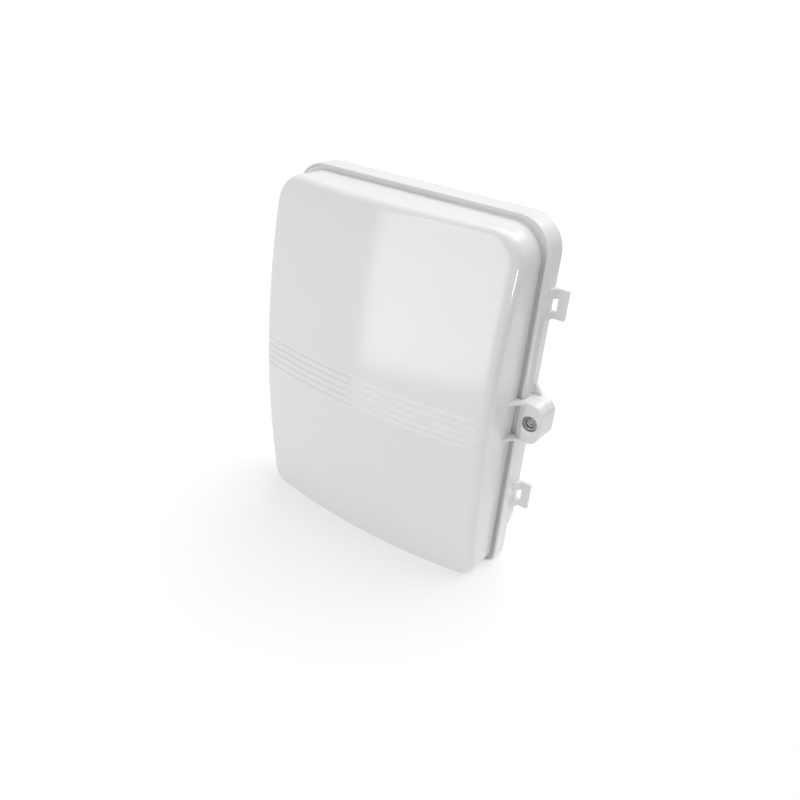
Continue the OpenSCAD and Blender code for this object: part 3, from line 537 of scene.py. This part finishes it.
def metal(name, colour, gloss, stretch=(1, 1, 1), dent=0.006):
    """Plated or machined metal: fine marks along one direction and uneven dullness."""
    mat = bpy.data.materials.new(name)
    mat.use_nodes = True
    nodes, links = mat.node_tree.nodes, mat.node_tree.links
    shader = nodes["Principled BSDF"]
    shader.inputs["Metallic"].default_value = 1
    where = nodes.new("ShaderNodeTexCoord")
    marks_at = nodes.new("ShaderNodeMapping")
    marks_at.inputs["Scale"].default_value = stretch
    links.new(where.outputs["Object"], marks_at.inputs["Vector"])
    marks, patches = nodes.new("ShaderNodeTexNoise"), nodes.new("ShaderNodeTexNoise")
    marks.inputs["Scale"].default_value, marks.inputs["Detail"].default_value = 1500, 2
    patches.inputs["Scale"].default_value, patches.inputs["Detail"].default_value = 160, 3
    links.new(marks_at.outputs["Vector"], marks.inputs["Vector"])
    links.new(where.outputs["Object"], patches.inputs["Vector"])
    mix = nodes.new("ShaderNodeMix")
    mix.data_type = "RGBA"
    mix.inputs["A"].default_value = (*[c * 0.8 for c in colour], 1)
    mix.inputs["B"].default_value = (*[min(c * 1.12, 1) for c in colour], 1)
    links.new(patches.outputs["Fac"], mix.inputs["Factor"])
    links.new(mix.outputs["Result"], shader.inputs["Base Color"])
    dull = nodes.new("ShaderNodeMapRange")
    dull.inputs["To Min"].default_value = gloss * 0.7
    dull.inputs["To Max"].default_value = gloss * 1.4
    links.new(patches.outputs["Fac"], dull.inputs["Value"])
    links.new(dull.outputs["Result"], shader.inputs["Roughness"])
    bump = nodes.new("ShaderNodeBump")
    bump.inputs["Strength"].default_value = 1
    bump.inputs["Distance"].default_value = dent * mm
    links.new(marks.outputs["Fac"], bump.inputs["Height"])
    links.new(bump.outputs["Normal"], shader.inputs["Normal"])
    return mat


ground_steel = metal("ground_steel", (0.62, 0.62, 0.63), 0.28, (1, 1, 0.06))
softened("cover_hinge_pins", "housing", ground_steel, 0.3 * mm, "cover_pins")
softened("panel_hinge_pins", "housing", ground_steel, 0.3 * mm, "panel_pins")

# ------------------------------------------------------------------ lock
# A quarter-turn cam lock: a dark burnished barrel with a six-sided key well, a ring and a
# centre pin, held in the lug by a zinc-plated nut, with a pressed cam screwed to its end.

burnished = metal("burnished_metal", (0.30, 0.285, 0.275), 0.3, (1, 0.2, 1))
pin_metal = metal("pin_metal", (0.72, 0.55, 0.48), 0.35)
zinc = metal("zinc_plate", (0.70, 0.71, 0.72), 0.36)
softened("lock_barrel", "lock", burnished, 0.25 * mm, "lock_cylinder")
softened("lock_nut", "door", zinc, 0.4 * mm, "barrel_nut")
softened("lock_cam", "lock", zinc, 0.3 * mm, "cam_plate")


def turned(name, profile, steps, centre, material):
    """A part turned about a line along Y: profile is (radius, depth) from back to front."""
    bm = bmesh.new()
    cx, cz = centre
    rings = []
    for r, depth in profile:
        if r == 0:
            rings.append([bm.verts.new((cx * mm, -depth * mm, cz * mm))])
            continue
        rings.append([bm.verts.new(((cx + r * math.cos(math.tau * k / steps)) * mm, -depth * mm,
                                    (cz + r * math.sin(math.tau * k / steps)) * mm))
                      for k in range(steps)])
    for a, b in zip(rings, rings[1:]):
        for k in range(steps):
            j = (k + 1) % steps
            corners = a[k % len(a)], a[j % len(a)], b[j % len(b)], b[k % len(b)]
            bm.faces.new(list(dict.fromkeys(corners)))
    bmesh.ops.recalc_face_normals(bm, faces=bm.faces)
    mark_sharp(bm, 35)
    obj = placed(bm, name)
    obj.data.materials.append(material)
    return obj


# radius, and height over the front of the barrel's head
lock_at, head_front, well_floor = (135.3, -4.5), 23.7, -3.2
head_pieces = (
    ("key_pin", 32, pin_metal,
     [(0, well_floor), (1.75, well_floor), (1.75, -0.9), (1.4, -0.45), (0.8, -0.3), (0.55, -0.7),
      (0, -0.8)]),
    ("head_collar", 64, burnished,
     [(6.5, -0.3), (6.62, -0.1), (6.5, 0.25), (6.0, 0.35), (5.6, 0.2), (5.5, -0.3), (6.5, -0.3)]),
    ("key_ring", 48, zinc,
     [(2.5, well_floor), (3.5, well_floor), (3.5, -0.9), (3.2, -0.6), (2.8, -0.6), (2.5, -0.9),
      (2.5, well_floor)]))
for name, steps, material, profile in head_pieces:
    obj = turned(name, [(r, head_front + over) for r, over in profile], steps, lock_at, material)
    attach(obj, "lock")
    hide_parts("lock_barrel")

# ------------------------------------------------------------------ screws
# Cross-recessed pan head screws in plated steel, threaded into the moulded posts, the
# swing panel and the lock barrel. The same screw is laid on every screw place.

shank_r, head_r, head_t = 1.45, 2.75, 1.95


def box_mesh(bm, x, y, z):
    """A plain block between pairs of x, y and z, to cut with or to build on."""
    made = bmesh.ops.create_cube(bm, size=1)["verts"]
    for v in made:
        v.co = Vector([(p[0] + p[1]) / 2 + c * (p[1] - p[0]) for p, c in zip((x, y, z), v.co)]) * mm
    return made


def carved(name, solid, cutters, width=0):
    """One solid with others cut out of it, its edges rounded, as a plain mesh."""
    obj = bpy.data.objects.new(name, solid)
    bpy.context.scene.collection.objects.link(obj)
    helpers = []
    for k, mesh in enumerate(cutters):
        helper = bpy.data.objects.new(name + "_cut_" + str(k), mesh)
        bpy.context.scene.collection.objects.link(helper)
        cut = obj.modifiers.new("cut", "BOOLEAN")
        cut.object, cut.solver = helper, "EXACT"
        helpers.append(helper)
    if width:
        soft = obj.modifiers.new("edges", "BEVEL")
        soft.width, soft.segments, soft.limit_method = width, 2, "ANGLE"
        soft.angle_limit = math.radians(40)
    bpy.context.view_layer.update()
    made = bpy.data.meshes.new_from_object(obj.evaluated_get(bpy.context.evaluated_depsgraph_get()))
    for helper in helpers + [obj]:
        bpy.data.objects.remove(helper)
    bm = bmesh.new()
    bm.from_mesh(made)
    mark_sharp(bm, 35)
    bm.to_mesh(made)
    bm.free()
    return made


def laid_out(name, template, places, material, body, node):
    """Geometry Nodes put one copy of the template mesh on each place, then make it one mesh."""
    pattern = bpy.data.objects.new(name + "_pattern", template)
    points = bpy.data.meshes.new(name)
    points.from_pydata([Vector(p) * mm for p in places], [], [])
    obj = bpy.data.objects.new(name, points)
    bpy.context.scene.collection.objects.link(obj)
    tree = bpy.data.node_groups.new(name + "_layout", "GeometryNodeTree")
    make = tree.interface.new_socket
    make(name="Places", in_out="INPUT", socket_type="NodeSocketGeometry")
    which = make(name="Pattern", in_out="INPUT", socket_type="NodeSocketObject")
    size = make(name="Size", in_out="INPUT", socket_type="NodeSocketFloat")
    surface = make(name="Material", in_out="INPUT", socket_type="NodeSocketMaterial")
    make(name="Row", in_out="OUTPUT", socket_type="NodeSocketGeometry")
    start, end = tree.nodes.new("NodeGroupInput"), tree.nodes.new("NodeGroupOutput")
    fetch = tree.nodes.new("GeometryNodeObjectInfo")
    lay = tree.nodes.new("GeometryNodeInstanceOnPoints")
    whole = tree.nodes.new("GeometryNodeRealizeInstances")
    paint = tree.nodes.new("GeometryNodeSetMaterial")
    tree.links.new(start.outputs["Pattern"], fetch.inputs["Object"])
    tree.links.new(start.outputs["Places"], lay.inputs["Points"])
    tree.links.new(fetch.outputs["Geometry"], lay.inputs["Instance"])
    tree.links.new(start.outputs["Size"], lay.inputs["Scale"])
    tree.links.new(lay.outputs["Instances"], whole.inputs["Geometry"])
    tree.links.new(whole.outputs["Geometry"], paint.inputs["Geometry"])
    tree.links.new(start.outputs["Material"], paint.inputs["Material"])
    tree.links.new(paint.outputs["Geometry"], end.inputs["Row"])
    grow = obj.modifiers.new("layout", "NODES")
    grow.node_group = tree
    grow[which.identifier], grow[size.identifier], grow[surface.identifier] = pattern, 1.0, material
    bpy.context.view_layer.update()
    made = bpy.data.meshes.new_from_object(obj.evaluated_get(bpy.context.evaluated_depsgraph_get()))
    obj.modifiers.clear()
    obj.data = made
    bpy.data.objects.remove(pattern)
    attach(obj, body)
    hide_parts(node)
    return obj


def pan_head_screw(length):
    """A screw at the origin, its head towards the front, cut with a tapering cross recess."""
    pitch, thread_depth = 0.6, 0.22
    threads = []
    for k in range(int((length - 1) / pitch)):
        d = -length + pitch + k * pitch
        threads += [(shank_r - thread_depth, d), (shank_r, d + pitch / 2)]
    head_curve = [(shank_r - 0.05, 0.02), (head_r * 0.96, 0), (head_r, 0.2), (head_r * 0.97, 0.9),
                  (head_r * 0.8, 1.5), (head_r * 0.5, 1.85), (0, head_t)]
    body = turned("screw_blank", [(0, -length), (shank_r * 0.7, -length)] + threads + head_curve,
                  24, (0, 0), zinc)
    blank = body.data
    bpy.data.objects.remove(body)
    cross = bpy.data.meshes.new("cross_recess")
    bm = bmesh.new()
    for wide, tall in ((1.35, 0.3), (0.3, 1.35)):
        verts = box_mesh(bm, (-wide, wide), (-3, -0.75), (-tall, tall))
        for v in verts:
            if v.co.y > -1 * mm:
                v.co.x, v.co.z = v.co.x * 0.55, v.co.z * 0.55
    bm.to_mesh(cross)
    bm.free()
    return carved("pan_head_screw", blank, [cross])


def seat_of(node):
    """Depth of the face that the screws' heads bear on."""
    return -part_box(node)[0][1] / mm - head_t


short_screw, long_screw = pan_head_screw(4.6), pan_head_screw(6.5)
screw_sets = (
    ("adapter_plate_screws", short_screw, "patch_panel", "plate_screws",
     [(s * 90.35, -80) for s in (-1, 1)]),
    ("splice_cassette_screws", short_screw, "housing", "cassette_screws",
     [(-4 + s * 74, 70 + t * 48) for s in (-1, 1) for t in (-1, 1)]),
    ("cable_clamp_screws", long_screw, "housing", "clamp_screws",
     [(s * 86 + t * 11.6, -138) for s in (-1, 1) for t in (-1, 1)]),
    ("strength_post_screws", short_screw, "housing", "strength_screws",
     [(s * 86, -120) for s in (-1, 1)]),
    ("drop_tie_screws", short_screw, "housing", "tie_bar_screws",
     [(s * 56, -130) for s in (-1, 1)]))
for name, screw, body, node, places in screw_sets:
    seat = seat_of(node)
    laid_out(name, screw, [(x, -seat, z) for x, z in places], zinc, body, node)
softened("cam_screw", "lock", zinc, 0.15 * mm, "cam_fixing_screw")

# ------------------------------------------------------------------ cable entries
# Along the foot: a rubber grommet for a feeder cable at each end, a long one with a hole
# for each drop cable between them, plated clamps, brass posts for the strength members,
# and a plastic bar to which the drop cables are tied.

entry_rubber = rubber("entry_rubber", (0.035, 0.036, 0.038), 0.03)
softened("feeder_grommets", "housing", entry_rubber, 0.3 * mm, "feeder_cable_grommets")
softened("drop_grommet", "housing", entry_rubber, 0.3 * mm, "drop_cable_grommet")
brass = metal("bright_brass", (0.78, 0.60, 0.28), 0.3, (0.08, 1, 1))
tray_grey = moulding("tray_grey", (0.58, 0.60, 0.62), 0.42, 0.02, 0.03)
softened("cable_clamps", "housing", zinc, 0.3 * mm, "feeder_cable_clamps")
softened("strength_posts", "housing", brass, 0.3 * mm, "strength_member_plates")
softened("tie_bar", "housing", tray_grey, 0.35 * mm, "drop_cable_tie_bar")

# ------------------------------------------------------------------ swing panel
# A plain grey tray that swings out on the left: its adapter plate carries a row of fibre
# adapters at the foot, with the splitter module clipped above and two bend guides.

softened("swing_panel", "patch_panel", tray_grey, 0.35 * mm, "swing_tray")
softened("adapter_plate", "patch_panel", tray_grey, 0.25 * mm, "adapter_shelf")
softened("splitter_clips", "patch_panel", tray_grey, 0.25 * mm, "module_clips")
softened("fibre_guides", "patch_panel", tray_grey, 0.35 * mm, "bend_guides")
module_black = moulding("module_black", (0.035, 0.037, 0.042), 0.4, 0.03, 0.1)
softened("splitter_module", "patch_panel", module_black, 0.4 * mm, "splitter_box")
latch_blue = moulding("latch_blue", (0.03, 0.11, 0.34), 0.34, 0.01, 0.05)
softened("panel_latch", "latch", latch_blue, 0.35 * mm, "quarter_turn_latch")

# ------------------------------------------------------------------ patch adapters
# Green couplers in a row in the adapter plate. Each is a moulded sleeve open at both ends
# with a key slot in its front and a grip band, and holds a split ceramic sleeve.

adapter_count, adapter_pitch, adapter_z, adapter_depth = 12, 14.5, -73.25, 37.4
adapter_places = [((i - (adapter_count - 1) / 2) * adapter_pitch, -adapter_depth, adapter_z)
                  for i in range(adapter_count)]
adapter_green = moulding("adapter_green", (0.03, 0.30, 0.14), 0.36, 0.01, 0.06)


def block_mesh(name, *blocks):
    bm = bmesh.new()
    for x, y, z in blocks:
        box_mesh(bm, x, y, z)
    mesh = bpy.data.meshes.new(name)
    bm.to_mesh(mesh)
    bm.free()
    return mesh


ends = [block_mesh("adapter_end", ((-3.7, 3.7), (-4.8, 4.8), (s, 14 * s) if s > 0 else (-14, -1)))
        for s in (1, -1)]
keys = [block_mesh("adapter_key", ((-1.3, 1.3), (-7, -4), (9, 14) if s > 0 else (-14, -9)))
        for s in (1, -1)]
bore = turned("adapter_bore", [(0, -3), (1.7, -3), (1.7, 3), (0, 3)], 24, (0, 0), adapter_green)
bore_mesh = bore.data
bore_mesh.transform(Matrix.Rotation(math.radians(90), 4, "X"))
bpy.data.objects.remove(bore)
notches = [block_mesh("side_notch", ((4.2, 5) if s > 0 else (-5, -4.2), (-2.5, 2.5), (2.2, 5.4)))
           for s in (1, -1)]
adapter = carved("adapter", block_mesh("adapter_body", ((-4.6, 4.6), (-6.4, 6.4), (-13.5, 13.5))),
                 ends + keys + notches + [bore_mesh], 0.3 * mm)
laid_out("coupler_row", adapter, adapter_places, adapter_green, "patch_panel", "patch_adapters")

ceramic = moulding("ceramic_white", (0.86, 0.85, 0.81), 0.18, 0.002, 0.02)
sleeve_bm = bmesh.new()
slit = math.radians(12)
loops = []
for k in range(25):
    a = slit + (math.tau - 2 * slit) * k / 24
    loops.append([sleeve_bm.verts.new((r * math.cos(a) * mm, r * math.sin(a) * mm, z * mm))
                  for r, z in ((1.60, -5.3), (1.62, -5.1), (1.62, 5.1), (1.60, 5.3), (1.28, 5.3),
                               (1.26, 5.1), (1.26, -5.1), (1.28, -5.3))])
for a, b in zip(loops, loops[1:]):
    bridge(sleeve_bm, a, b)
sleeve_bm.faces.new(loops[0])
sleeve_bm.faces.new(loops[-1][::-1])
bmesh.ops.recalc_face_normals(sleeve_bm, faces=sleeve_bm.faces)
mark_sharp(sleeve_bm, 35)
sleeve = bpy.data.meshes.new("split_sleeve")
sleeve_bm.to_mesh(sleeve)
sleeve_bm.free()
laid_out("split_sleeves", sleeve, adapter_places, ceramic, "patch_panel", "alignment_sleeves")

# ------------------------------------------------------------------ dust caps
# Soft plastic caps pushed into the adapters: red below, natural white above. Each has a
# plug that fits the socket, and a ribbed grip.

cap_red = moulding("cap_red", (0.55, 0.03, 0.025), 0.38, 0.015, 0.06)
cap_white = moulding("cap_white", (0.83, 0.83, 0.80), 0.4, 0.015, 0.03)


def dust_cap(s):
    """A cap for the upper end (s 1) or the lower end (s -1) of an adapter."""
    def span(a, b):
        return (a, b) if s > 0 else (-b, -a)
    plug = ((-3.55, 3.55), (-4.6, 4.6), span(8.5, 14.0))
    grip = ((-4.1, 4.1), (-5.7, 5.7), span(13.65, 21.45))
    hollow = ((-2.6, 2.6), (-3.6, 3.6), span(7.5, 13))
    rib_cuts = [((-3.4, 3.4), side, span(z, z + 0.7)) for z in (15.2, 16.8, 18.4, 20)
                for side in ((-6, -5.25), (5.25, 6))]
    body = carved("cap", block_mesh("cap_grip", grip),
                  [block_mesh("cap_cut", cut) for cut in rib_cuts], 0.3 * mm)
    core = carved("plug", block_mesh("cap_plug", plug), [block_mesh("plug_hollow", hollow)],
                  0.25 * mm)
    bm = bmesh.new()
    bm.from_mesh(body)
    bm.from_mesh(core)
    cap = bpy.data.meshes.new("dust_cap")
    bm.to_mesh(cap)
    bm.free()
    return cap


laid_out("lower_caps", dust_cap(-1), adapter_places, cap_red, "patch_panel", "outer_dust_caps")
laid_out("upper_caps", dust_cap(1), adapter_places, cap_white, "patch_panel", "inner_dust_caps")

# ------------------------------------------------------------------ splice cassette
# A shallow grey tray on four posts behind the swing panel, with two fibre drums, a rubber
# comb for the splice sleeves, and a clear hinged lid.

softened("splice_cassette", "housing", tray_grey, 0.25 * mm, "splice_tray")
softened("splice_comb", "housing", entry_rubber, 0.15 * mm, "sleeve_comb")
clear_lid = moulding("clear_lid", (0.86, 0.92, 0.95), 0.07, 0.001, 0.01)
glass = clear_lid.node_tree.nodes["Principled BSDF"]
glass.inputs["Transmission Weight"].default_value = 0.92
glass.inputs["IOR"].default_value = 1.49
softened("cassette_lid", "splice_lid", clear_lid, 0.3 * mm, "clear_tray_lid")
